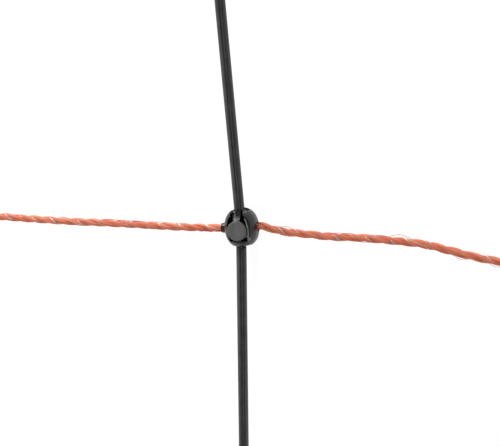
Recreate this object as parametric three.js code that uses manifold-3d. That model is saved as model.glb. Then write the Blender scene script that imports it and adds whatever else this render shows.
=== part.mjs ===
// A section of electric sheep netting: three polywires crossed by three lines of stiff struts.
// It lies on its back: X runs along the wires, Y up the net, and Z faces the viewer.
// The origin is on the flat back of the knot in the middle. All sizes are in millimetres.

import * as THREE from "three";
import { mergeVertices } from "three/addons/utils/BufferGeometryUtils.js";
import Module from "manifold-3d";

// The net
const strutPitch = 150; // from one line of struts to the next, along the wires
const linkLength = 150; // from pivot to pivot along a strut
const lowerLean = 0.6; // degrees that the lower struts lean to the left
const upperLean = 5.4; // degrees that the upper struts lean to the left
const rowDrop = 5; // how far the outer knots of a row sit below its middle knot
const knotTurn = 7.5; // degrees that each knot is turned in the net's plane

// The knot's body, an egg shape with a flat back
const knotHalfWidth = 6.25; // along the wire
const knotHalfLength = 7.45; // along the struts
const knotHalfDepth = 6.4; // towards the viewer
const knotFullness = 2.3; // 2 is a plain egg, and more is squarer
const pivotHeight = 5.65; // from the flat back to the middle of the knot

// The polywire and its way through the knot, with a neck on the left and a wider mouth on the right
const wireRadius = 1.45;
const boreClearance = 0.15;
const boreBehind = 0.9; // the bore runs this far behind the middle of the knot
const neckWall = 0.2; // the wall of the knot's neck at its mouth
const neckFlare = 0.6; // how much thicker the neck is at its root
const neckRoot = 4.6; // from the middle of the knot to the root of the neck
const neckReach = 8.2; // from the middle of the knot to the mouth of the neck
const mouthFlare = 0.75; // how much wider than the bore the other mouth is
const mouthDepth = 1.1; // how deep that widening goes
const straightRun = 0.7; // the wire is straight this far past the knot
const wireSag = 1.5; // how far the wire sinks midway between two knots
const tailLength = 12; // the sealed end of a wire past its last knot
const tailFall = 0.6; // how far that end hangs

// The hinge inside the knot, as heights above the knot's middle and radii about the pivot
const pocketFloor = 1.6;
const bossRadius = 1.3;
const eyeClearance = 0.25; // between the pivot boss and the eyes that turn on it
const eyeWall = 1.0;
const backEyeThickness = 1.1;
const frontEyeThickness = 1.4;
const layerGap = 0.3; // between the floor, the two eyes and the cap
const tongueWidth = 2.2;
const swingLimit = 10; // degrees that a strut can swing each way in its slot
const slotClearance = 0.25; // between the strut and the slot's side at that limit
const pocketClearance = 0.3; // between the cap and the pocket around it
const pocketRise = 6.8; // half the length of the pocket's oval, which is cut off below the cap
const seatRadius = 6.8; // from the pivot to the hollow seats that the rods end at
const seatClearance = 0.3; // behind and in front of the rod in its seat

// The strut
const rodRadius = 1.93;
const rodAhead = 0.9; // the rod's axis runs this far in front of the knot's middle
const rodGap = 0.35; // between the rod's end and its seat
const grooveWidth = 1.1; // the groove down the front of the rod
const grooveDepth = 0.3;
const grooveTurn = 12; // degrees that the groove is turned to the right
const tongueRoot = 1.2; // how deep the tongue is rooted in the rod
const joggleStart = 5; // from the pivot, where the front tongue steps up
const joggleRun = 0.25; // how far that step slopes
const joggleWall = 0.9; // how thick the tongue is there

// The cap over the pivot
const capRadius = 3.65;
const capBevel = 0.35;
const capBoreClearance = 0.12; // round the boss
const bossIntoCap = 0.85; // how far the boss reaches into the cap
const capSeatGap = 0.1; // between the boss and the bottom of the cap's hole

// How the wires wander between two knots: [share of the way, offset up the net in mm]
const leftSpanBends = [
  [0.08, -0.9], [0.16, -1.45], [0.3, -1.65], [0.49, -1.8], [0.69, -1.25], [0.88, -0.8], [0.955, -0.3],
];
const rightSpanBends = [
  [0.062, -1], [0.14, -0.78], [0.2, -0.55], [0.28, 0.5], [0.36, 1], [0.425, 1.3],
  [0.465, 1.1], [0.52, 0.25], [0.596, -0.88], [0.65, -1.1], [0.78, -1.4], [0.9, -1.2],
];

// How finely round shapes are cut
const knotAround = 18;
const knotDown = 10;
const boreSides = 12;
const bossSides = 12;
const capSides = 16;
const seatSides = 36;
const pocketArcSteps = 9;
const rodArcSteps = 9;
const wireSides = 8;
const wireSteps = 60;

// Sizes that follow from those above
const degree = Math.PI / 180;
const boreRadius = wireRadius + boreClearance;
const leftRun = neckReach + straightRun; // from the middle of the knot
const rightRun = knotHalfWidth + straightRun;
const eyeBoreRadius = bossRadius + eyeClearance;
const eyeRadius = eyeBoreRadius + eyeWall;
const backEye = pocketFloor + layerGap; // underside of the eye at a strut's upper end
const backEyeTop = backEye + backEyeThickness;
const frontEye = backEyeTop + layerGap; // underside of the eye at its lower end
const frontEyeTop = frontEye + frontEyeThickness;
const capUnderside = frontEyeTop + layerGap;
const capFace = knotHalfDepth;
const bossTop = capUnderside + bossIntoCap;
const pocketHalfWidth = capRadius + pocketClearance;
const rodEnd = seatRadius + rodGap;
const rodFront = rodAhead + rodRadius;
const lipUnderside = Math.max(frontEye, rodFront + seatClearance); // the knot closes over the lower slot
const swing = swingLimit * degree;
const swung = (halfWidth, reach) => halfWidth * Math.cos(swing) + reach * Math.sin(swing) + slotClearance;
const slotHalfWidth = swung(tongueWidth / 2, rodEnd);
const seatHalfWidth = swung(rodRadius, knotHalfLength);
const past = 1; // how far a cut runs past the surface that it opens

const blackPlastic = { color: 0x1c1d1e, roughness: 0.42, metalness: 0 };
const materials = {
  knot: new THREE.MeshStandardMaterial(blackPlastic),
  cap: new THREE.MeshStandardMaterial({ ...blackPlastic, color: 0x3a3a3b, roughness: 0.5 }),
  strut: new THREE.MeshStandardMaterial({ ...blackPlastic, color: 0x2b2c2d, roughness: 0.38 }),
  polywire: new THREE.MeshStandardMaterial({ color: 0xd8562f, roughness: 0.55, metalness: 0 }),
};

const wasm = await Module();
wasm.setup();

// A closed mesh as a solid that can be cut and joined
function solid(geometry) {
  const bare = geometry.clone();
  bare.deleteAttribute("normal");
  bare.deleteAttribute("uv");
  const merged = mergeVertices(bare, 1e-4);
  const vertProperties = new Float32Array(merged.attributes.position.array);
  const triVerts = new Uint32Array(merged.index.array);
  return new wasm.Manifold(new wasm.Mesh({ numProp: 3, vertProperties, triVerts }));
}

// A solid as a mesh's geometry
function surface(shape) {
  const { vertProperties, triVerts } = shape.getMesh();
  const geometry = new THREE.BufferGeometry();
  geometry.setAttribute("position", new THREE.BufferAttribute(new Float32Array(vertProperties), 3));
  geometry.setIndex(new THREE.BufferAttribute(new Uint32Array(triVerts), 1));
  geometry.computeVertexNormals();
  return geometry;
}

// Turns a geometry so that its own X, Y and Z point along the three given directions
function turned(geometry, x, y, z) {
  const axes = [x, y, z].map((direction) => new THREE.Vector3(...direction));
  return geometry.applyMatrix4(new THREE.Matrix4().makeBasis(...axes));
}

const alongX = (geometry) => turned(geometry, [0, 0, 1], [1, 0, 0], [0, 1, 0]);
const alongZ = (geometry) => geometry.rotateX(Math.PI / 2);

function box(low, high) {
  const size = high.map((value, i) => value - low[i]);
  const middle = high.map((value, i) => (value + low[i]) / 2);
  return solid(new THREE.BoxGeometry(...size).translate(...middle));
}

// An upright cylinder about the pivot, from one height to another
function post(radius, low, high, sides, y = 0) {
  const cylinder = new THREE.CylinderGeometry(radius, radius, high - low, sides);
  return solid(alongZ(cylinder).translate(0, y, (low + high) / 2));
}

// A ball of radius 1 whose sides are drawn out towards those of a cube
function fullBall() {
  const ball = new THREE.SphereGeometry(1, knotAround, knotDown);
  const place = ball.attributes.position;
  const point = new THREE.Vector3();
  for (let i = 0; i < place.count; i += 1) {
    point.fromBufferAttribute(place, i);
    const sum = point.toArray().reduce((total, value) => total + Math.abs(value) ** knotFullness, 0);
    point.multiplyScalar(sum ** (-1 / knotFullness));
    place.setXYZ(i, point.x, point.y, point.z);
  }
  return ball;
}

// The way of the wire through the knot: a bore that opens in a neck at one end, a wide mouth at the other
function throughBore(radius, endRadius, low, high) {
  const cylinder = new THREE.CylinderGeometry(endRadius, radius, high - low, boreSides);
  return solid(alongX(cylinder).translate((low + high) / 2, 0, -boreBehind));
}

// The pocket for the struts' ends, an oval that is cut off just below the cap
function pocketSolid(front) {
  const cutOff = Math.asin(-pocketHalfWidth / pocketRise);
  const outline = new THREE.Shape();
  outline.absellipse(0, 0, pocketHalfWidth, pocketRise, cutOff, Math.PI - cutOff);
  outline.closePath();
  const pocket = new THREE.ExtrudeGeometry(outline, {
    depth: front - pocketFloor, bevelEnabled: false, curveSegments: pocketArcSteps,
  });
  return solid(pocket.translate(0, 0, pocketFloor));
}

// The knot: an egg with a bore for the wire, a pocket with a slot up and down for the struts' tongues,
// a hollow seat at each end for their rods, and the boss that they turn on. Its middle is at the origin.
function knotGeometry() {
  const neckMouth = boreRadius + neckWall;
  const mouthRoot = knotHalfWidth - mouthDepth;
  let body = solid(fullBall().scale(knotHalfWidth, knotHalfLength, knotHalfDepth))
    .add(throughBore(neckMouth, neckMouth + neckFlare, -neckReach, -neckRoot))
    .subtract(throughBore(boreRadius, boreRadius, -neckReach - past, knotHalfWidth + past))
    .subtract(throughBore(boreRadius, boreRadius + mouthFlare, mouthRoot, knotHalfWidth));

  const front = knotHalfDepth + past;
  body = body.subtract(pocketSolid(front));
  const round = post(seatRadius, -front, front, seatSides);
  const behindRod = rodAhead - rodRadius - seatClearance;
  const end = knotHalfLength + past;
  for (const [low, high, top] of [[0, end, front], [-end, 0, lipUnderside]]) {
    const seat = box([-seatHalfWidth, low, behindRod], [seatHalfWidth, high, top]);
    body = body
      .subtract(box([-slotHalfWidth, low, pocketFloor], [slotHalfWidth, high, top]))
      .subtract(seat.subtract(round));
  }
  body = body.add(post(bossRadius, pocketFloor - past, bossTop, bossSides));

  const reach = 2 * knotHalfLength;
  return surface(body.subtract(box([-reach, -reach, -reach], [reach, reach, -pivotHeight])));
}

// The cap: a round button with a softened edge, pressed over the boss
function capGeometry() {
  const profile = [
    [0, bossTop + capSeatGap],
    [bossRadius + capBoreClearance, bossTop + capSeatGap],
    [bossRadius + capBoreClearance, capUnderside],
    [capRadius - capBevel, capUnderside],
    [capRadius, capUnderside + capBevel],
    [capRadius, capFace - capBevel],
    [capRadius - capBevel, capFace],
    [0, capFace],
  ].map(([radius, height]) => new THREE.Vector2(radius, height));
  return alongZ(new THREE.LatheGeometry(profile, capSides));
}

// The rod of a strut: round, with a groove down its front
function rodSolid() {
  const grooveAngle = Math.asin(grooveWidth / 2 / rodRadius);
  const grooveWay = Math.PI / 2 - grooveTurn * degree;
  const grooveFloor = rodRadius - grooveDepth;
  const section = new THREE.Shape();
  const start = grooveWay + grooveAngle;
  section.absarc(0, 0, rodRadius, start, start + 2 * Math.PI - 2 * grooveAngle);
  section.lineTo(grooveFloor * Math.cos(grooveWay), grooveFloor * Math.sin(grooveWay));
  const length = linkLength - 2 * rodEnd;
  const rod = new THREE.ExtrudeGeometry(section, {
    depth: length, bevelEnabled: false, curveSegments: rodArcSteps,
  });
  turned(rod, [1, 0, 0], [0, 0, 1], [0, -1, 0]);
  return solid(rod.translate(0, linkLength - rodEnd, rodAhead));
}

// A flat tongue with an eye at its tip. The outline gives [distance from the pivot, height].
function tongueSolid(outline, underside, top, pivotY, direction) {
  const points = outline.map(([out, height]) => new THREE.Vector2(pivotY + direction * out, height));
  const plate = new THREE.ExtrudeGeometry(new THREE.Shape(points), {
    depth: tongueWidth, bevelEnabled: false,
  });
  turned(plate, [0, 1, 0], [0, 0, 1], [1, 0, 0]).translate(-tongueWidth / 2, 0, 0);
  return solid(plate)
    .add(post(eyeRadius, underside, top, bossSides, pivotY))
    .subtract(post(eyeBoreRadius, underside - past, top + past, bossSides, pivotY));
}

// The strut, with the pivot of its lower end at the origin
function strutGeometry() {
  const rooted = rodEnd + tongueRoot;
  const rootTop = rodAhead + rodRadius / 2;
  const innerStart = joggleStart - joggleWall;
  const upperEnd = [
    [0, backEye], [rodEnd, backEye], [rooted, rodAhead],
    [rooted, rootTop], [rodEnd, backEyeTop], [0, backEyeTop],
  ];
  const lowerEnd = [
    [0, frontEye], [innerStart - joggleRun, frontEye], [innerStart, backEye], [rodEnd, backEye],
    [rooted, rodAhead], [rooted, rootTop], [rodEnd, backEyeTop],
    [joggleStart, backEyeTop], [joggleStart - joggleRun, frontEyeTop], [0, frontEyeTop],
  ];
  return surface(
    rodSolid()
      .add(tongueSolid(lowerEnd, frontEye, frontEyeTop, 0, 1))
      .add(tongueSolid(upperEnd, backEye, backEyeTop, linkLength, -1)),
  );
}

const columns = [
  { name: "left", x: -strutPitch, y: -rowDrop },
  { name: "centre", x: 0, y: 0 },
  { name: "right", x: strutPitch, y: -rowDrop },
];

// The wire's line through a row: straight through each knot, wandering and sagging between them
function wirePath() {
  const height = pivotHeight - boreBehind;
  const way = new THREE.Vector3(Math.cos(knotTurn * degree), Math.sin(knotTurn * degree), 0);
  const at = (column, along) =>
    new THREE.Vector3(column.x, column.y, height).addScaledVector(way, along);
  const span = (from, to, bends) =>
    bends.map(([share, offset]) => {
      const sag = 4 * wireSag * share * (1 - share);
      const point = at(from, rightRun).lerp(at(to, -leftRun), share);
      return point.add(new THREE.Vector3(0, offset, -sag));
    });
  const through = (column) =>
    [-leftRun, -neckRoot, neckRoot, rightRun].map((along) => at(column, along));
  const tail = (column, side) => {
    const end = at(column, side * (neckReach + tailLength));
    return end.add(new THREE.Vector3(0, 0, -tailFall));
  };
  const [left, centre, right] = columns;
  return new THREE.CatmullRomCurve3([
    tail(left, -1), ...through(left),
    ...span(left, centre, leftSpanBends), ...through(centre),
    ...span(centre, right, rightSpanBends), ...through(right), tail(right, 1),
  ]);
}

function wireGeometry() {
  const section = new THREE.Shape();
  for (let i = 0; i < wireSides; i += 1) {
    const angle = ((i + 0.5) / wireSides) * 2 * Math.PI;
    const corner = [wireRadius * Math.cos(angle), wireRadius * Math.sin(angle)];
    if (i === 0) section.moveTo(...corner);
    else section.lineTo(...corner);
  }
  return new THREE.ExtrudeGeometry(section, {
    steps: wireSteps, bevelEnabled: false, extrudePath: wirePath(),
  });
}

function named(name, geometry, material) {
  const mesh = new THREE.Mesh(geometry, material);
  mesh.name = name;
  return mesh;
}

const knotShape = knotGeometry();
const capShape = capGeometry();
const strutShape = strutGeometry();
const wireShape = wireGeometry();

// The way from a strut's lower pivot to its upper one
const linkWay = (lean) =>
  new THREE.Vector3(-Math.sin(lean * degree), Math.cos(lean * degree), 0).multiplyScalar(linkLength);

// One row of the net: a wire, its knots and their caps
function row(name, place) {
  const group = new THREE.Group();
  group.position.copy(place);
  group.add(named(`polywire_${name}`, wireShape, materials.polywire));
  for (const column of columns) {
    const knot = named(`knot_${name}_${column.name}`, knotShape, materials.knot);
    const cap = named(`pivot_cap_${name}_${column.name}`, capShape, materials.cap);
    for (const piece of [knot, cap]) {
      piece.position.set(column.x, column.y, pivotHeight);
      piece.rotation.z = knotTurn * degree;
      group.add(piece);
    }
  }
  return group;
}

// The struts between one row and the next
function struts(name, place, lean) {
  const group = new THREE.Group();
  group.position.copy(place);
  for (const column of columns) {
    const strut = named(`strut_${name}_${column.name}`, strutShape, materials.strut);
    strut.position.set(column.x, column.y, pivotHeight);
    strut.rotation.z = lean * degree;
    group.add(strut);
  }
  return group;
}

const middlePlace = new THREE.Vector3(0, 0, 0);
const bottomPlace = linkWay(lowerLean).negate();
const topPlace = linkWay(upperLean);

const netting = new THREE.Group();
netting.add(row("bottom", bottomPlace), row("middle", middlePlace), row("top", topPlace));
netting.add(struts("lower", bottomPlace, lowerLean), struts("upper", middlePlace, upperLean));

export default netting;
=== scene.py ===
import bpy
import bmesh
import math
from mathutils import Matrix, Vector


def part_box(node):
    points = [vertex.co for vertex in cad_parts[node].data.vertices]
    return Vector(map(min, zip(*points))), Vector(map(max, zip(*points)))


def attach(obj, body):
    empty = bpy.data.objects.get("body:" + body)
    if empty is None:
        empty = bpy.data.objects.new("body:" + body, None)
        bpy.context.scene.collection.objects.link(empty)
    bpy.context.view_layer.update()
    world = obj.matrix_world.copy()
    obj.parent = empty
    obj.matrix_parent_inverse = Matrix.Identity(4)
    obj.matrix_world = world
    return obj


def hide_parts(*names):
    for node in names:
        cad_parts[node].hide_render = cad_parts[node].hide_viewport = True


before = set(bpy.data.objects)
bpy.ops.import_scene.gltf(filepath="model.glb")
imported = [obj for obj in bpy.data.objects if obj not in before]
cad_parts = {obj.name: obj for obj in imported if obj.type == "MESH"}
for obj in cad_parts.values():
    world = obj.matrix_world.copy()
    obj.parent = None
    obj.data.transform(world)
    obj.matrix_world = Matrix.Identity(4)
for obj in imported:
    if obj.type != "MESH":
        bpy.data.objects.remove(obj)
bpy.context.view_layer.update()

mm = 0.001
rowNames = ("bottom", "middle", "top")
columnNames = ("left", "centre", "right")
print("frame loaded:", len(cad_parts), "nodes")


# What a piece is made from, in mm until it is placed

def meshOf(name, build):
    shape = bmesh.new()
    build(shape)
    bmesh.ops.recalc_face_normals(shape, faces=shape.faces)
    mesh = bpy.data.meshes.new(name)
    shape.to_mesh(mesh)
    shape.free()
    return mesh


def prism(outline, low, high, turn=None):  # an outline in X and Y, from one height to another
    def build(shape):
        corners = [shape.verts.new((x, y, low)) for x, y in outline]
        base = shape.faces.new(corners)
        grown = bmesh.ops.extrude_face_region(shape, geom=[base])["geom"]
        raised = [part for part in grown if isinstance(part, bmesh.types.BMVert)]
        bmesh.ops.translate(shape, vec=(0, 0, high - low), verts=raised)
        if turn:
            bmesh.ops.transform(shape, matrix=turn, verts=shape.verts)
    return meshOf("prism", build)


def rod(radius, low, high, turn=None, farRadius=None, sides=48):  # a round bar or cone along Z
    def build(shape):
        middle = Matrix.Translation((0, 0, (low + high) / 2))
        bmesh.ops.create_cone(
            shape, cap_ends=True, segments=sides, radius1=radius, radius2=farRadius or radius,
            depth=high - low, matrix=middle)
        if turn:
            bmesh.ops.transform(shape, matrix=turn, verts=shape.verts)
    return meshOf("rod", build)


def box(low, high):
    corners = [(low[0], low[1]), (high[0], low[1]), (high[0], high[1]), (low[0], high[1])]
    return prism(corners, low[2], high[2])


def arc(radiusX, radiusY, start, end, steps):
    angles = [math.radians(start + (end - start) * i / steps) for i in range(steps + 1)]
    return [(radiusX * math.cos(a), radiusY * math.sin(a)) for a in angles]


def moulded(name, joins, cuts, voxel, smoothing, keep):  # joins and cuts shapes, then softens every edge
    base = bpy.data.objects.new(name, joins[0])
    bpy.context.scene.collection.objects.link(base)
    tools = []
    for operation, shapes in (("UNION", joins[1:]), ("DIFFERENCE", cuts)):
        for shape in shapes:
            tool = bpy.data.objects.new("tool", shape)
            bpy.context.scene.collection.objects.link(tool)
            tools.append(tool)
            step = base.modifiers.new(operation, "BOOLEAN")
            step.operation, step.object, step.solver = operation, tool, "EXACT"
    remesh = base.modifiers.new("remesh", "REMESH")
    remesh.mode, remesh.voxel_size, remesh.use_smooth_shade = "VOXEL", voxel, True
    soften = base.modifiers.new("soften", "SMOOTH")
    soften.factor, soften.iterations = 0.5, smoothing
    thin = base.modifiers.new("thin", "DECIMATE")
    thin.ratio = keep
    mesh = finished(base)
    for thing in [base, *tools]:
        bpy.data.objects.remove(thing)
    return mesh


def finished(thing):  # an object's mesh with its modifiers applied
    bpy.context.view_layer.update()
    graph = bpy.context.evaluated_depsgraph_get()
    return bpy.data.meshes.new_from_object(thing.evaluated_get(graph))


def joined(meshes):
    shape = bmesh.new()
    for mesh in meshes:
        shape.from_mesh(mesh)
    out = bpy.data.meshes.new("joined")
    shape.to_mesh(out)
    shape.free()
    return out


def marked(mesh, name, test):  # an attribute that is 1 on the points that pass the test
    values = mesh.attributes.new(name, "FLOAT", "POINT").data
    for i, vertex in enumerate(mesh.vertices):
        values[i].value = 1.0 if test(i, vertex.co) else 0.0


def place(name, mesh, where, material, slot, body, *nodes):  # a copy in its place, in metres
    copy = mesh.copy()
    copy.transform(Matrix.Scale(mm, 4) @ where)
    copy.materials.clear()
    copy.materials.append(material)
    for face in copy.polygons:
        face.use_smooth = True
    piece = bpy.data.objects.new(name, copy)
    bpy.context.scene.collection.objects.link(piece)
    ready(piece, slot, body, *nodes)
    return piece


def ready(piece, slot, body, *nodes):
    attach(piece, body)
    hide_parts(*nodes)


# Nodes for the materials and the geometry trees

def addNode(tree, kind, inputs=None, **settings):
    node = tree.nodes.new(kind)
    for key, value in settings.items():
        setattr(node, key, value)
    for key, value in (inputs or {}).items():
        if isinstance(value, bpy.types.NodeSocket):
            tree.links.new(value, node.inputs[key])
        else:
            node.inputs[key].default_value = value
    return node


def calc(tree, operation, *values):
    inputs = dict(enumerate(values))
    return addNode(tree, "ShaderNodeMath", inputs, operation=operation).outputs[0]


def vector(tree, operation, first, second):
    kind = "Scale" if operation == "SCALE" else 1
    return addNode(tree, "ShaderNodeVectorMath", {0: first, kind: second}, operation=operation).outputs[0]


def newMaterial(name):
    material = bpy.data.materials.new(name)
    material.use_nodes = True
    tree = material.node_tree
    return material, tree, tree.nodes["Principled BSDF"]


def ramp(tree, value, stops):
    node = addNode(tree, "ShaderNodeValToRGB", {"Fac": value})
    spots = node.color_ramp.elements
    while len(spots) < len(stops):
        spots.new(0.5)
    for spot, (position, color) in zip(spots, stops):
        spot.position, spot.color = position, (*color, 1)
    return node.outputs["Color"]


def noise(tree, place, scale, detail=2.0, roughness=0.5):
    inputs = {"Vector": place, "Scale": scale, "Detail": detail, "Roughness": roughness}
    return addNode(tree, "ShaderNodeTexNoise", inputs).outputs[0]


def stretched(tree, scale):  # the object's own coordinates, stretched
    place = addNode(tree, "ShaderNodeTexCoord").outputs["Object"]
    return addNode(tree, "ShaderNodeMapping", {"Vector": place, "Scale": scale}).outputs[0]


grain = {  # what the black plastics share
    "cloudScale": 260, "fineScale": 2600, "lineShare": 0.6, "bumpDepth": 0.00004, "roughness": (-0.06, 0.1),
}


def blackPlastic(name, dark, pale, roughness, strength, gloss, lines=None):
    material, tree, shader = newMaterial(name)
    here = stretched(tree, (1, 1, 1))
    cloud = noise(tree, here, grain["cloudScale"], 4)
    if lines:  # fine lines drawn along the piece
        drawn = noise(tree, stretched(tree, lines), 1, 3, 0.6)
        rest = calc(tree, "MULTIPLY", cloud, 1 - grain["lineShare"])
        cloud = calc(tree, "MULTIPLY_ADD", drawn, grain["lineShare"], rest)
    shader.inputs["Specular IOR Level"].default_value = gloss
    color = ramp(tree, cloud, [(0.38, dark), (0.64, pale)])
    # painted highlight and painted shade are mixed into the base colour from two attributes
    for key, other in (("paintedHighlight", paintedHighlightPlastic), ("paintedShade", paintedShadePlastic)):
        share = addNode(tree, "ShaderNodeAttribute", attribute_name=key).outputs["Fac"]
        blend = {0: share, 6: color, 7: (*other, 1)}  # the mix node's sockets: share, first and second colour
        color = addNode(tree, "ShaderNodeMix", blend, data_type="RGBA").outputs[2]
    tree.links.new(color, shader.inputs["Base Color"])
    smoothest, roughest = (roughness + step for step in grain["roughness"])
    rough = addNode(tree, "ShaderNodeMapRange", {
        "Value": cloud, "From Min": 0.3, "From Max": 0.7, "To Min": smoothest, "To Max": roughest})
    tree.links.new(rough.outputs[0], shader.inputs["Roughness"])
    fine = calc(tree, "ADD", noise(tree, here, grain["fineScale"], 3), calc(tree, "MULTIPLY", cloud, 2.0))
    depth = {"Height": fine, "Strength": strength, "Distance": grain["bumpDepth"]}
    bump = addNode(tree, "ShaderNodeBump", depth)
    tree.links.new(bump.outputs[0], shader.inputs["Normal"])
    return material


paintedHighlightPlastic = (0.26, 0.26, 0.255)  # painted highlight, where a raised edge catches the light
paintedShadePlastic = (0.004, 0.004, 0.004)  # painted shade, where a tongue lies deep in its slot
knotPlastic = blackPlastic("knotPlastic", (0.006, 0.006, 0.0063), (0.012, 0.012, 0.0122), 0.27, 0.2, 0.5)
capPlastic = blackPlastic("capPlastic", (0.09, 0.09, 0.088), (0.17, 0.17, 0.167), 0.5, 0.5, 0.45,
                          (700, 180, 700))
strutPlastic = blackPlastic("strutPlastic", (0.04, 0.041, 0.04), (0.072, 0.073, 0.071), 0.4, 0.3, 0.3,
                            (900, 12, 900))


def fibreMaterial():
    material, tree, shader = newMaterial("orangeFibre")
    tone = addNode(tree, "ShaderNodeAttribute", attribute_name="fibreTone").outputs["Fac"]
    stops = [(0.0, (0.68, 0.15, 0.095)), (0.35, (0.9, 0.22, 0.125)), (0.75, (0.95, 0.32, 0.18)),
             (1.0, (1.0, 0.6, 0.4))]
    tree.links.new(ramp(tree, tone, stops), shader.inputs["Base Color"])
    shader.inputs["Roughness"].default_value = 0.42
    shader.inputs["Subsurface Weight"].default_value = 0.15
    shader.inputs["Subsurface Radius"].default_value = (0.6, 0.2, 0.1)
    shader.inputs["Subsurface Scale"].default_value = 0.0004
    return material


def conductorMaterial(name, dull, bright):
    material, tree, shader = newMaterial(name)
    shade = noise(tree, stretched(tree, (1, 1, 1)), 900, 2)
    tree.links.new(ramp(tree, shade, [(0.35, dull), (0.65, bright)]), shader.inputs["Base Color"])
    shader.inputs["Metallic"].default_value = 0.5
    shader.inputs["Roughness"].default_value = 0.35
    return material


orangeFibre = fibreMaterial()
tinnedWire = conductorMaterial("tinnedWire", (0.75, 0.66, 0.58), (1.0, 0.95, 0.8))
dullFilament = conductorMaterial("dullFilament", (0.2, 0.16, 0.19), (0.38, 0.33, 0.36))
print("materials made")


# Camera, at the photograph's angle

camera = {
    "azimuth": 19.0, "elevation": 14.5, "distance": 405.0, "lens": 79.0, "sensor": 36.0,
    "frameSize": (500, 446), "knotPixel": (241.95, 227.45),  # where the middle knot shows in the frame
}


def makeCamera():
    azimuth, elevation = math.radians(camera["azimuth"]), math.radians(camera["elevation"])
    level = math.cos(elevation)
    back = Vector((math.sin(azimuth) * level, math.sin(elevation), math.cos(azimuth) * level))
    right = Vector((0, 1, 0)).cross(back).normalized()
    up = back.cross(right)
    perPixel = camera["sensor"] / camera["frameSize"][0] / camera["lens"]
    across = (camera["knotPixel"][0] - camera["frameSize"][0] / 2) * perPixel
    down = (camera["knotPixel"][1] - camera["frameSize"][1] / 2) * perPixel
    aim = Vector((0, 0, knot["pivotHeight"]))
    place = aim + camera["distance"] * (back - across * right + down * up)
    data = bpy.data.cameras.new("camera")
    data.lens, data.sensor_width = camera["lens"], camera["sensor"]
    data.clip_start, data.clip_end = 0.01, 20
    seen = bpy.data.objects.new("camera", data)
    axes = Matrix((right, up, back)).transposed().to_4x4()
    seen.matrix_world = Matrix.Translation(place * mm) @ axes
    bpy.context.scene.collection.objects.link(seen)
    bpy.context.scene.camera = seen


# The knots: a full egg with a neck and a mouth for the wire, and a pocket for the struts' tongues

knot = {
    "halfWidth": 6.25, "halfLength": 7.45, "halfDepth": 6.4, "fullness": 2.3, "eggSegments": (96, 64),
    "pivotHeight": 5.65, "turn": 7.5, "baseCut": 20,
    "boreRadius": 1.6, "boreBehind": 0.9, "neckRoot": 4.6, "neckReach": 8.2, "neckWall": 0.2,
    "neckFlare": 0.6, "mouthFlare": 0.75, "mouthDepth": 1.1,
    "pocketFloor": 1.6, "pocketHalfWidth": 3.95, "pocketRise": 6.8, "slotHalfWidth": 2.57,
    "lipUnderside": 3.3, "pocketSteps": 72,
    "seatRadius": 6.8, "seatHalfWidth": 3.44, "seatBack": -1.33, "seatArc": (120, 60, 40),
    "bossRadius": 1.3, "bossTop": 5.85, "bossSunk": 0.5,
    "ridgeRadius": 0.24, "ridgeSpan": (4.2, -3.4), "ridgeOut": 0.17,  # the raised edge right of the pocket
    "ridgeSunk": 0.02, "ridgeSteps": 24,
    "voxel": 0.13, "smoothing": 4, "keep": 0.26,
}


def shellHeight(x, y):  # how high the egg is over a point
    power = knot["fullness"]
    left = 1 - abs(x / knot["halfWidth"]) ** power - abs(y / knot["halfLength"]) ** power
    return knot["halfDepth"] * max(left, 0) ** (1 / power)


def eggMesh():
    power, sizes = knot["fullness"], Vector((knot["halfWidth"], knot["halfLength"], knot["halfDepth"]))
    around, up = knot["eggSegments"]

    def build(shape):
        bmesh.ops.create_uvsphere(shape, u_segments=around, v_segments=up, radius=1)
        for vertex in shape.verts:
            drawn = sum(abs(value) ** power for value in vertex.co) ** (-1 / power)
            vertex.co = vertex.co * drawn * sizes
    return meshOf("egg", build)


def ridgeMesh():  # follows the right edge of the pocket over the egg
    start, end = knot["ridgeSpan"]
    points = []
    for i in range(knot["ridgeSteps"] + 1):
        y = start + (end - start) * i / knot["ridgeSteps"]
        x = knot["pocketHalfWidth"] * math.sqrt(1 - (y / knot["pocketRise"]) ** 2) + knot["ridgeOut"]
        points.append(Vector((x, y, shellHeight(x, y) - knot["ridgeSunk"])))
    sizes = {"Radius": knot["ridgeRadius"], "Material": knotPlastic}
    return grown("ridge", lineMesh([points]), filament, sizes)


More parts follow.
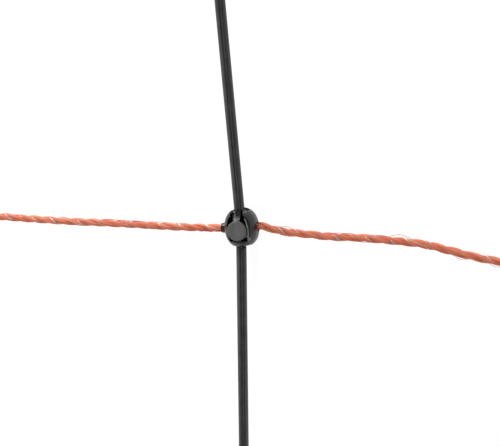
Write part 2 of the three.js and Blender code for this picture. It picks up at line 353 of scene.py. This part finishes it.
def knotMesh():
    root, reach = knot["neckRoot"], knot["neckReach"]
    bore, mouth = knot["boreRadius"], knot["boreRadius"] + knot["neckWall"]
    alongWire = Matrix.Translation((0, 0, -knot["boreBehind"])) @ Matrix.Rotation(math.pi / 2, 4, "Y")
    neck = rod(mouth, -reach, -root, alongWire, mouth + knot["neckFlare"])
    wide, rise, floor = knot["pocketHalfWidth"], knot["pocketRise"], knot["pocketFloor"]
    front, side = knot["halfDepth"] + 1, knot["halfWidth"]
    cutOff = math.degrees(math.asin(-wide / rise))
    slot, past, lip = knot["slotHalfWidth"], knot["halfLength"] + 1, knot["lipUnderside"]
    seat, back, hollow = knot["seatHalfWidth"], knot["seatBack"], knot["seatRadius"]
    base = knot["baseCut"]
    upperSeat = [(seat, past), (-seat, past)] + arc(hollow, hollow, *knot["seatArc"])
    lowerSeat = [(x, -y) for x, y in upperSeat]
    cuts = [
        rod(bore, -reach - 1, past, alongWire),
        rod(bore, side - knot["mouthDepth"], side, alongWire, bore + knot["mouthFlare"]),
        prism(arc(wide, rise, cutOff, 180 - cutOff, knot["pocketSteps"]), floor, front),
        box((-slot, 0, floor), (slot, past, front)),
        box((-slot, -past, floor), (slot, 0, lip)),
        prism(upperSeat, back, front),
        prism(lowerSeat, back, lip),
        box((-base, -base, -base), (base, base, -knot["pivotHeight"])),
    ]
    body = moulded("knot", [eggMesh(), neck], cuts, knot["voxel"], knot["smoothing"], knot["keep"])
    boss = rod(knot["bossRadius"], floor - knot["bossSunk"], knot["bossTop"])
    mesh = joined([body, boss, ridgeMesh()])
    firstOfRidge = len(body.vertices) + len(boss.vertices)
    # the ridge is painted pale: a painted highlight along the pocket's right edge
    marked(mesh, "paintedHighlight", lambda i, spot: i >= firstOfRidge)
    return mesh


# The caps: turned buttons with a softened edge

cap = {
    "radius": 3.65, "underside": 5.0, "face": 6.4, "edge": 0.35, "edgeSteps": 5, "backBevel": 0.15,
    "boreRadius": 1.42, "boreTop": 5.95, "dish": 0.06, "rings": 12, "segments": 72,
}


def capMesh():
    edge, outer = cap["edge"], cap["radius"]
    bore, base, bevel = cap["boreRadius"], cap["underside"], cap["backBevel"]
    profile = [(0, cap["boreTop"]), (bore, cap["boreTop"]), (bore, base)]
    profile += [(outer - bevel, base), (outer, base + bevel)]
    for x, y in arc(edge, edge, 0, 90, cap["edgeSteps"]):
        profile.append((outer - edge + x, cap["face"] - edge + y))
    for i in range(1, cap["rings"] + 1):  # the face is very slightly dished
        share = 1 - i / cap["rings"]
        radius = (outer - edge) * share
        profile.append((radius, cap["face"] - cap["dish"] * (1 - share * share)))

    def build(shape):
        points = [shape.verts.new((radius, 0, height)) for radius, height in profile]
        edges = [shape.edges.new(pair) for pair in zip(points, points[1:])]
        bmesh.ops.spin(shape, geom=points + edges, axis=(0, 0, 1), cent=(0, 0, 0),
                       angle=2 * math.pi, steps=cap["segments"])
        bmesh.ops.remove_doubles(shape, verts=shape.verts, dist=1e-4)
    return meshOf("cap", build)


# The struts: grooved rods with a flat tongue and an eye at each end

strut = {
    "radius": 1.93, "ahead": 0.9, "endGap": 7.15, "length": 150.0, "endBevel": 0.18,
    "grooveTurn": 12.0, "grooveHalfAngle": 15.0, "grooveDepth": 0.3, "sides": 64, "rings": 24,
    "eyeRadius": 2.55, "eyeBore": 1.55,
    "backEye": (1.9, 3.0), "frontEye": (3.3, 4.7),  # their undersides and tops
    "tongueWidth": 2.2, "tongueRoot": 1.2, "slotTop": 2.6, "humpRun": 1.05, "humpDrop": 0.95,
    "highlightDrop": 0.75, "highlightSide": 0.6,  # the painted highlight on the hump
    "joggleStart": 5.0, "joggleRun": 0.25, "joggleWall": 0.9,
    "voxel": 0.1, "smoothing": 3, "keep": 0.3,
}


def rodMesh():
    radius, bevel = strut["radius"], strut["endBevel"]
    low, high = strut["endGap"], strut["length"] - strut["endGap"]
    rings = [(low, bevel), (low + bevel * 0.3, bevel * 0.3), (low + bevel, 0)]
    rings += [(low + (high - low) * i / strut["rings"], 0) for i in range(1, strut["rings"])]
    rings += [(high - bevel, 0), (high - bevel * 0.3, bevel * 0.3), (high, bevel)]

    def section(inset):
        points = []
        for i in range(strut["sides"]):
            angle = 2 * math.pi * i / strut["sides"]
            turned = math.remainder(angle - math.radians(90 - strut["grooveTurn"]), 2 * math.pi)
            share = max(0.0, 1 - abs(math.degrees(turned)) / strut["grooveHalfAngle"])
            depth = strut["grooveDepth"] * (3 * share ** 2 - 2 * share ** 3)
            out = radius - depth - inset
            points.append((out * math.cos(angle), out * math.sin(angle)))
        return points

    def build(shape):
        ahead = strut["ahead"]
        loops = [[shape.verts.new((x, y, ahead + z)) for x, z in section(inset)] for y, inset in rings]
        for first, second in zip(loops, loops[1:]):
            for i in range(len(first)):
                j = (i + 1) % len(first)
                shape.faces.new((first[i], first[j], second[j], second[i]))
        shape.faces.new(loops[0])
        shape.faces.new(loops[-1])
    return meshOf("rod", build)


def tongueMesh(outline, levels, pivotY, direction):
    points = [(pivotY + direction * out, height) for out, height in outline]
    half = strut["tongueWidth"] / 2
    sideways = Matrix(((0, 0, 1, 0), (1, 0, 0, 0), (0, 1, 0, 0), (0, 0, 0, 1)))
    there = Matrix.Translation((0, pivotY, 0))
    underside, top = levels
    eye = rod(strut["eyeRadius"], underside, top, there)
    bore = rod(strut["eyeBore"], underside - 1, top + 1, there)
    return moulded("tongue", [prism(points, -half, half, sideways), eye], [bore],
                   strut["voxel"], strut["smoothing"], strut["keep"])


def strutMesh():
    end, ahead, root = strut["endGap"], strut["ahead"], strut["endGap"] + strut["tongueRoot"]
    back, backTop = strut["backEye"]
    front, frontTop = strut["frontEye"]
    outer, run = strut["joggleStart"], strut["joggleRun"]
    inner = outer - strut["joggleWall"]
    rooted = [(end, back), (root, ahead), (root, ahead + strut["radius"] / 2), (end, strut["slotTop"])]
    upper = [(0, back), *rooted, (0, backTop)]
    lower = [(0, front), (inner - run, front), (inner, back), *rooted,
             (outer, backTop), (outer - run, frontTop - strut["humpDrop"]),
             (outer - run - strut["humpRun"], frontTop), (0, frontTop)]
    bar = rodMesh()
    mesh = joined([bar, tongueMesh(lower, strut["frontEye"], 0, 1),
                   tongueMesh(upper, strut["backEye"], strut["length"], -1)])
    tongues, hump, side = len(bar.vertices), frontTop - strut["highlightDrop"], strut["highlightSide"]
    # painted highlight on the top of the hump
    marked(mesh, "paintedHighlight", lambda i, at: i >= tongues and hump < at.z and at.x < side and at.y < outer)
    # painted shade on the tongues below the level of the hump, where they lie deep in the slot
    marked(mesh, "paintedShade", lambda i, at: i >= tongues and at.z < hump)
    return mesh


# The polywires: strands of fine fibres and conductors, twisted by geometry nodes

wire = {
    "height": 4.75, "leftRun": 8.9, "rightRun": 6.95, "sag": 1.5, "tailReach": 20.2, "tailFall": 0.6,
    "steps": 12,
    "leftSpanBends": [(0.08, -0.9), (0.16, -1.45), (0.3, -1.65), (0.49, -1.8), (0.69, -1.25), (0.88, -0.8),
                      (0.955, -0.3)],
    "rightSpanBends": [(0.062, -1.0), (0.14, -0.78), (0.2, -0.55), (0.28, 0.5), (0.36, 1.0), (0.425, 1.3),
                       (0.465, 1.1), (0.52, 0.25), (0.596, -0.88), (0.65, -1.1), (0.78, -1.4), (0.9, -1.2)],
    "Strands": 3, "Fibres": 9, "Lay": 19.2, "Fibre Lay": 26.0, "Helix Radius": 0.74, "Bundle Radius": 0.55,
    "Fibre Radius": 0.25, "Fibre Wobble": 0.12, "Spacing": 0.7,
    "Conductors": 2, "Conductor Radius": 0.2, "Conductor Ride": 0.62, "Conductor Wander": 1.1,
    "Conductor Lay": -10.5, "Seed": 4,
}
drift = {  # how quickly fibres and leads wander along the wire, and how their tones vary
    "fibreAlong": 0.11, "fibreStep": 5.3, "seedStep": 3.1, "strandTurn": 1.7,
    "ownTone": 0.55, "patchTone": 0.6, "patchScale": 2.3,
    "leadAlong": 0.16, "leadStep": 7.7, "leadProud": 0.2,
}
stray = {  # loose conductor filaments: mm along the row from its middle knot, span, height, direction
    "radius": 0.085, "start": 1.3, "steps": 16,
    "loops": [(16.9, 6.0, 1.1, 75), (36.5, 7.0, 0.3, 85), (51.5, 8.0, 0.3, 80), (58.6, 8.5, 1.3, 80),
              (45.5, 7.0, 0.2, -85), (80.5, 5.0, 1.0, -95), (93.0, 6.0, 0.9, -100), (-12.5, 6.0, 0.25, -90),
              (-34.0, 5.5, 0.3, 95), (-44.0, 9.0, 0.25, 80), (-55.0, 8.0, 0.3, 85), (-68.0, 5.0, 0.3, -90),
              (-112.0, 6.0, 0.7, 70), (122.0, 5.0, 0.6, 100)],
}


def smoothLine(points, steps):  # a centripetal Catmull-Rom curve through the points
    ends = [points[0] * 2 - points[1], *points, points[-1] * 2 - points[-2]]
    line = []
    for a, b, c, d in zip(ends, ends[1:], ends[2:], ends[3:]):
        first, middle, last = ((q - p).length ** 0.5 for p, q in ((a, b), (b, c), (c, d)))
        leave = ((b - a) / first - (c - a) / (first + middle) + (c - b) / middle) * middle
        arrive = ((c - b) / middle - (d - b) / (middle + last) + (d - c) / last) * middle
        for i in range(steps):
            t = i / steps
            line.append(b + leave * t + (3 * (c - b) - 2 * leave - arrive) * t ** 2
                        + (2 * (b - c) + leave + arrive) * t ** 3)
    return [*line, points[-1]]


def wireLine(row):  # straight through each knot, wandering and sagging between them, as in the CAD model
    pivots = [pivotOf(row, column) for column in columnNames]
    turn = math.radians(knot["turn"])
    way = Vector((math.cos(turn), math.sin(turn), 0))
    centres = [Vector((pivot.x, pivot.y, wire["height"])) for pivot in pivots]
    at = [lambda along, centre=centre: centre + way * along for centre in centres]
    leave, arrive = wire["rightRun"], wire["leftRun"]

    def span(start, end, bends):
        return [start.lerp(end, share) + Vector((0, offset, -4 * wire["sag"] * share * (1 - share)))
                for share, offset in bends]

    def through(place):
        return [place(along) for along in (-arrive, -knot["neckRoot"], knot["neckRoot"], leave)]

    tail = wire["tailReach"]
    fall = Vector((0, 0, -wire["tailFall"]))
    left, centre, right = at
    points = [left(-tail) + fall, *through(left)]
    points += [*span(left(leave), centre(-arrive), wire["leftSpanBends"]), *through(centre)]
    points += [*span(centre(leave), right(-arrive), wire["rightSpanBends"]), *through(right)]
    points.append(right(tail) + fall)
    return smoothLine(points, wire["steps"])


def lineMesh(lines):
    mesh = bpy.data.meshes.new("line")
    points, edges = [], []
    for line in lines:
        edges += [(len(points) + i, len(points) + i + 1) for i in range(len(line) - 1)]
        points += [tuple(point) for point in line]
    mesh.from_pydata(points, edges, [])
    return mesh


def treeWith(name, sockets):
    tree = bpy.data.node_groups.new(name, "GeometryNodeTree")
    tree.interface.new_socket("Geometry", in_out="INPUT", socket_type="NodeSocketGeometry")
    tree.interface.new_socket("Geometry", in_out="OUTPUT", socket_type="NodeSocketGeometry")
    for key, kind in sockets.items():
        tree.interface.new_socket(key, in_out="INPUT", socket_type=f"NodeSocket{kind}")
    return tree, tree.nodes.new("NodeGroupInput"), tree.nodes.new("NodeGroupOutput")


def coiledAround(tree, curve, along, sideways, upwards, number, given, out, lay, groups, perGroup):
    # Each copy of the line lies at its own angle in its strand, and the strands turn about the wire
    strand = calc(tree, "FLOOR", calc(tree, "DIVIDE", number, perGroup))
    fibre = calc(tree, "SUBTRACT", number, calc(tree, "MULTIPLY", strand, perGroup))
    turn = calc(tree, "MULTIPLY", calc(tree, "DIVIDE", strand, groups), 2 * math.pi)
    laps = calc(tree, "MULTIPLY", calc(tree, "DIVIDE", along, given["Lay"]), 2 * math.pi)
    big = calc(tree, "ADD", laps, turn)
    own = calc(tree, "MULTIPLY", calc(tree, "DIVIDE", fibre, perGroup), 2 * math.pi)
    own = calc(tree, "ADD", own, calc(tree, "MULTIPLY", strand, drift["strandTurn"]))
    small = calc(tree, "SUBTRACT", own, calc(tree, "MULTIPLY", calc(tree, "DIVIDE", along, lay), 2 * math.pi))
    swing = calc(tree, "MULTIPLY", out, calc(tree, "COSINE", small))
    outward = calc(tree, "ADD", given["Helix Radius"], swing)
    around = calc(tree, "MULTIPLY", out, calc(tree, "SINE", small))
    cosine, sine = calc(tree, "COSINE", big), calc(tree, "SINE", big)
    onSide = calc(tree, "SUBTRACT", calc(tree, "MULTIPLY", cosine, outward),
                  calc(tree, "MULTIPLY", sine, around))
    onTop = calc(tree, "ADD", calc(tree, "MULTIPLY", sine, outward), calc(tree, "MULTIPLY", cosine, around))
    offset = vector(tree, "ADD", vector(tree, "SCALE", sideways, onSide),
                    vector(tree, "SCALE", upwards, onTop))
    return addNode(tree, "GeometryNodeSetPosition", {"Geometry": curve, "Offset": offset}).outputs[0]


def tubed(tree, curve, radius, sides, material):
    size = {"Resolution": sides, "Radius": radius}
    ring = addNode(tree, "GeometryNodeCurvePrimitiveCircle", size).outputs[0]
    sweep = {"Curve": curve, "Profile Curve": ring, "Fill Caps": True}
    tube = addNode(tree, "GeometryNodeCurveToMesh", sweep).outputs[0]
    smooth = addNode(tree, "GeometryNodeSetShadeSmooth", {"Geometry": tube}).outputs[0]
    return addNode(tree, "GeometryNodeSetMaterial", {"Geometry": smooth, "Material": material}).outputs[0]


def polywireTree():
    sockets = {key: "Int" for key in ("Strands", "Fibres", "Conductors", "Seed")}
    sockets |= {key: "Float" for key in ("Lay", "Fibre Lay", "Helix Radius", "Bundle Radius", "Fibre Radius",
                                         "Fibre Wobble", "Spacing", "Conductor Radius", "Conductor Ride",
                                         "Conductor Wander", "Conductor Lay")}
    sockets |= {"Fibre Material": "Material", "Conductor Material": "Material"}
    tree, entry, end = treeWith("polywire", sockets)
    given = entry.outputs
    curve = addNode(tree, "GeometryNodeMeshToCurve", {"Mesh": given["Geometry"]}).outputs[0]
    even = addNode(tree, "GeometryNodeResampleCurve", {"Curve": curve, "Length": given["Spacing"]},
                   mode="LENGTH").outputs[0]
    tangent = tree.nodes.new("GeometryNodeInputTangent").outputs[0]
    length = tree.nodes.new("GeometryNodeSplineParameter").outputs["Length"]
    flat = vector(tree, "CROSS_PRODUCT", (0, 0, 1), tangent)
    side = addNode(tree, "ShaderNodeVectorMath", {0: flat}, operation="NORMALIZE").outputs[0]
    rise = vector(tree, "CROSS_PRODUCT", tangent, side)
    kept = tree.nodes.new("GeometryNodeCaptureAttribute")
    captured = (("FLOAT", "along", length), ("VECTOR", "side", side), ("VECTOR", "rise", rise))
    for kind, key, value in captured:
        kept.capture_items.new(kind, key)
        tree.links.new(value, kept.inputs[key])
    tree.links.new(even, kept.inputs["Geometry"])
    along, side, rise = (kept.outputs[key] for key in ("along", "side", "rise"))

    every = calc(tree, "MULTIPLY", given["Strands"], given["Fibres"])
    line = kept.outputs["Geometry"]
    fibres = addNode(tree, "GeometryNodeDuplicateElements", {"Geometry": line, "Amount": every},
                     domain="SPLINE")
    number = fibres.outputs["Duplicate Index"]
    spot = addNode(tree, "ShaderNodeCombineXYZ", {
        "X": calc(tree, "MULTIPLY", along, drift["fibreAlong"]),
        "Y": calc(tree, "MULTIPLY", number, drift["fibreStep"]),
        "Z": calc(tree, "MULTIPLY", given["Seed"], drift["seedStep"])}).outputs[0]
    swell = calc(tree, "SUBTRACT", noise(tree, spot, 1.0, 2), 0.5)
    out = calc(tree, "ADD", given["Bundle Radius"], calc(tree, "MULTIPLY", swell, given["Fibre Wobble"]))
    laid = coiledAround(tree, fibres.outputs["Geometry"], along, side, rise, number, given, out,
                        given["Fibre Lay"], given["Strands"], given["Fibres"])
    own = addNode(tree, "FunctionNodeRandomValue", {"ID": number, "Seed": given["Seed"]},
                  data_type="FLOAT").outputs["Value"]
    patch = calc(tree, "MULTIPLY", noise(tree, spot, drift["patchScale"], 3), drift["patchTone"])
    tone = calc(tree, "ADD", calc(tree, "MULTIPLY", own, drift["ownTone"]), patch)
    stored = {"Geometry": laid, "Name": "fibreTone", "Value": tone}
    toned = addNode(tree, "GeometryNodeStoreNamedAttribute", stored,
                    data_type="FLOAT", domain="POINT").outputs[0]
    body = tubed(tree, toned, given["Fibre Radius"], 5, given["Fibre Material"])

    metal = addNode(tree, "GeometryNodeDuplicateElements", {"Geometry": line, "Amount": given["Conductors"]},
                    domain="SPLINE")
    lead = metal.outputs["Duplicate Index"]
    stretch = addNode(tree, "ShaderNodeCombineXYZ", {
        "X": calc(tree, "MULTIPLY", along, drift["leadAlong"]),
        "Y": calc(tree, "MULTIPLY", lead, drift["leadStep"]),
        "Z": given["Seed"]}).outputs[0]
    wander = calc(tree, "SUBTRACT", noise(tree, stretch, 1.0, 1), 0.5)
    ride = calc(tree, "MULTIPLY_ADD", wander, given["Conductor Wander"], given["Conductor Ride"])
    proud = calc(tree, "ADD", given["Bundle Radius"], drift["leadProud"])
    shining = coiledAround(tree, metal.outputs["Geometry"], along, side, rise, lead, given,
                           calc(tree, "MINIMUM", ride, proud),
                           given["Conductor Lay"], given["Conductors"], 1)
    leads = tubed(tree, shining, given["Conductor Radius"], 5, given["Conductor Material"])

    both = tree.nodes.new("GeometryNodeJoinGeometry")
    for part in (leads, body):
        tree.links.new(part, both.inputs[0])
    real = addNode(tree, "GeometryNodeRealizeInstances", {"Geometry": both.outputs[0]}).outputs[0]
    tree.links.new(real, end.inputs[0])
    return tree


def strayTree():
    tree, entry, end = treeWith("strayFilament", {"Radius": "Float", "Material": "Material"})
    curve = addNode(tree, "GeometryNodeMeshToCurve", {"Mesh": entry.outputs["Geometry"]}).outputs[0]
    tube = tubed(tree, curve, entry.outputs["Radius"], 6, entry.outputs["Material"])
    real = addNode(tree, "GeometryNodeRealizeInstances", {"Geometry": tube}).outputs[0]
    tree.links.new(real, end.inputs[0])
    return tree


def grown(name, mesh, tree, values):  # runs a geometry tree on a mesh and keeps the plain result
    thing = bpy.data.objects.new(name, mesh)
    bpy.context.scene.collection.objects.link(thing)
    step = thing.modifiers.new(tree.name, "NODES")
    step.node_group = tree
    for item in tree.interface.items_tree:
        if item.in_out == "INPUT" and item.name in values:
            step[item.identifier] = values[item.name]
    out = finished(thing)
    bpy.data.objects.remove(thing)
    return out


def strayLines(line):
    travelled, total = [0.0], 0.0
    for a, b in zip(line, line[1:]):
        total += (b - a).length
        travelled.append(total)
    middle = min(range(len(line)), key=lambda i: abs(line[i].x - centreOf(line)))
    lines = []
    for along, span, height, direction in stray["loops"]:
        angle = math.radians(direction)
        lift = Vector((0, math.sin(angle), math.cos(angle)))
        loop = []
        for i in range(stray["steps"] + 1):
            share = i / stray["steps"]
            place = pointAt(line, travelled, travelled[middle] + along + span * (share - 0.5))
            loop.append(place + lift * (stray["start"] + height * math.sin(math.pi * share)))
        lines.append(loop)
    return lines


def centreOf(line):
    return (line[0].x + line[-1].x) / 2


def pointAt(line, travelled, wanted):
    i = min(max(i for i, value in enumerate(travelled) if value <= wanted), len(line) - 2)
    share = (wanted - travelled[i]) / (travelled[i + 1] - travelled[i])
    return line[i].lerp(line[i + 1], share)


def pivotOf(row, column):  # the pivot's place in mm, from the cap that covers it
    low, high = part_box(f"pivot_cap_{row}_{column}")
    return Vector(((low[0] + high[0]) / 2, (low[1] + high[1]) / 2, 0)) / mm


# Everything in its place

makeCamera()

polywire, filament = polywireTree(), strayTree()
knotShape, capShape, strutShape = knotMesh(), capMesh(), strutMesh()
for name, shape in (("knot", knotShape), ("cap", capShape), ("strut", strutShape)):
    print(name, "shaped,", len(shape.polygons), "faces")

knotTurn = Matrix.Rotation(math.radians(knot["turn"]), 4, "Z")
for row in rowNames:
    for column in columnNames:
        pivot, body, spot = pivotOf(row, column), f"{row}_row", f"{row}_{column}"
        there = Matrix.Translation((pivot.x, pivot.y, knot["pivotHeight"])) @ knotTurn
        place(f"knotBody_{spot}", knotShape, there, knotPlastic, "knot_plastic", body, f"knot_{spot}")
        place(f"button_{spot}", capShape, there, capPlastic, "cap_plastic", body, f"pivot_cap_{spot}")
for level, below, above in (("lower", "bottom", "middle"), ("upper", "middle", "top")):
    for column in columnNames:
        start, end, spot = pivotOf(below, column), pivotOf(above, column), f"{level}_{column}"
        lean = math.atan2(start.x - end.x, end.y - start.y)
        there = Matrix.Translation((start.x, start.y, knot["pivotHeight"])) @ Matrix.Rotation(lean, 4, "Z")
        place(f"link_{spot}", strutShape, there, strutPlastic, "strut_plastic",
              f"{level}_strut_{column}", f"strut_{spot}")
print("knots, caps and struts placed")

values = {key: value for key, value in wire.items() if key[0].isupper()}
values |= {"Fibre Material": orangeFibre, "Conductor Material": tinnedWire}
for seed, row in enumerate(rowNames, wire["Seed"] - 1):
    line = wireLine(row)
    rope = grown("rope", lineMesh([line]), polywire, values | {"Seed": seed})
    loose = {"Radius": stray["radius"], "Material": dullFilament}
    loops = grown("loops", lineMesh(strayLines(line)), filament, loose)
    for mesh, name in ((rope, "twistedWire"), (loops, "strayFilaments")):
        mesh.transform(Matrix.Scale(mm, 4))
        piece = bpy.data.objects.new(f"{name}_{row}", mesh)
        bpy.context.scene.collection.objects.link(piece)
        ready(piece, "polywire", f"{row}_row", f"polywire_{row}")
    print("polywire", row, len(rope.polygons), "faces")


# A plain white floor and soft light: white all round at the height of the net, dim overhead

studio = {
    "floorSize": 6.0, "floorTop": -0.0002, "floorBase": -0.01, "floorColor": 0.2, "floorGlow": 0.93,
    "skyStrength": 1.75,
    "sky": [(0.0, 0.8), (0.1, 0.65), (0.24, 0.16), (0.5, 0.06), (1.0, 0.05)],  # light by height
    "lights": [  # place, size, energy
        ((-0.33, -0.22, 0.92), 0.26, 2.4),
        ((-0.6, 0.8, 0.16), 0.4, 9.0),
        ((0.7, -0.7, 0.1), 0.3, 1.2),
        ((-0.85, -0.25, 0.45), 0.25, 1.0),
    ],
}


def makeStudio():
    material, tree, shader = newMaterial("whiteFloor")
    shader.inputs["Base Color"].default_value = (*[studio["floorColor"]] * 3, 1)
    shader.inputs["Roughness"].default_value = 0.8
    shader.inputs["Emission Color"].default_value = (1, 1, 1, 1)
    shader.inputs["Emission Strength"].default_value = studio["floorGlow"]
    half = studio["floorSize"] / 2
    mesh = box((-half, -half, studio["floorBase"]), (half, half, studio["floorTop"]))
    mesh.materials.append(material)
    floor = bpy.data.objects.new("floor", mesh)
    bpy.context.scene.collection.objects.link(floor)

    world = bpy.data.worlds.new("surround")
    world.use_nodes = True
    sky = world.node_tree
    way = addNode(sky, "ShaderNodeTexCoord").outputs["Generated"]
    height = addNode(sky, "ShaderNodeSeparateXYZ", {0: way}).outputs["Z"]
    glow = ramp(sky, height, [(spot, (value, value, value)) for spot, value in studio["sky"]])
    sky.links.new(glow, sky.nodes["Background"].inputs["Color"])
    sky.nodes["Background"].inputs["Strength"].default_value = studio["skyStrength"]
    bpy.context.scene.world = world

    for where, size, energy in studio["lights"]:
        light = bpy.data.lights.new("softbox", "AREA")
        light.energy, light.size = energy, size
        lamp = bpy.data.objects.new("softbox", light)
        aim = Vector(where).to_track_quat("Z", "Y").to_matrix().to_4x4()
        lamp.matrix_world = Matrix.Translation(where) @ aim
        bpy.context.scene.collection.objects.link(lamp)
    bpy.context.scene.view_settings.view_transform = "Standard"


makeStudio()
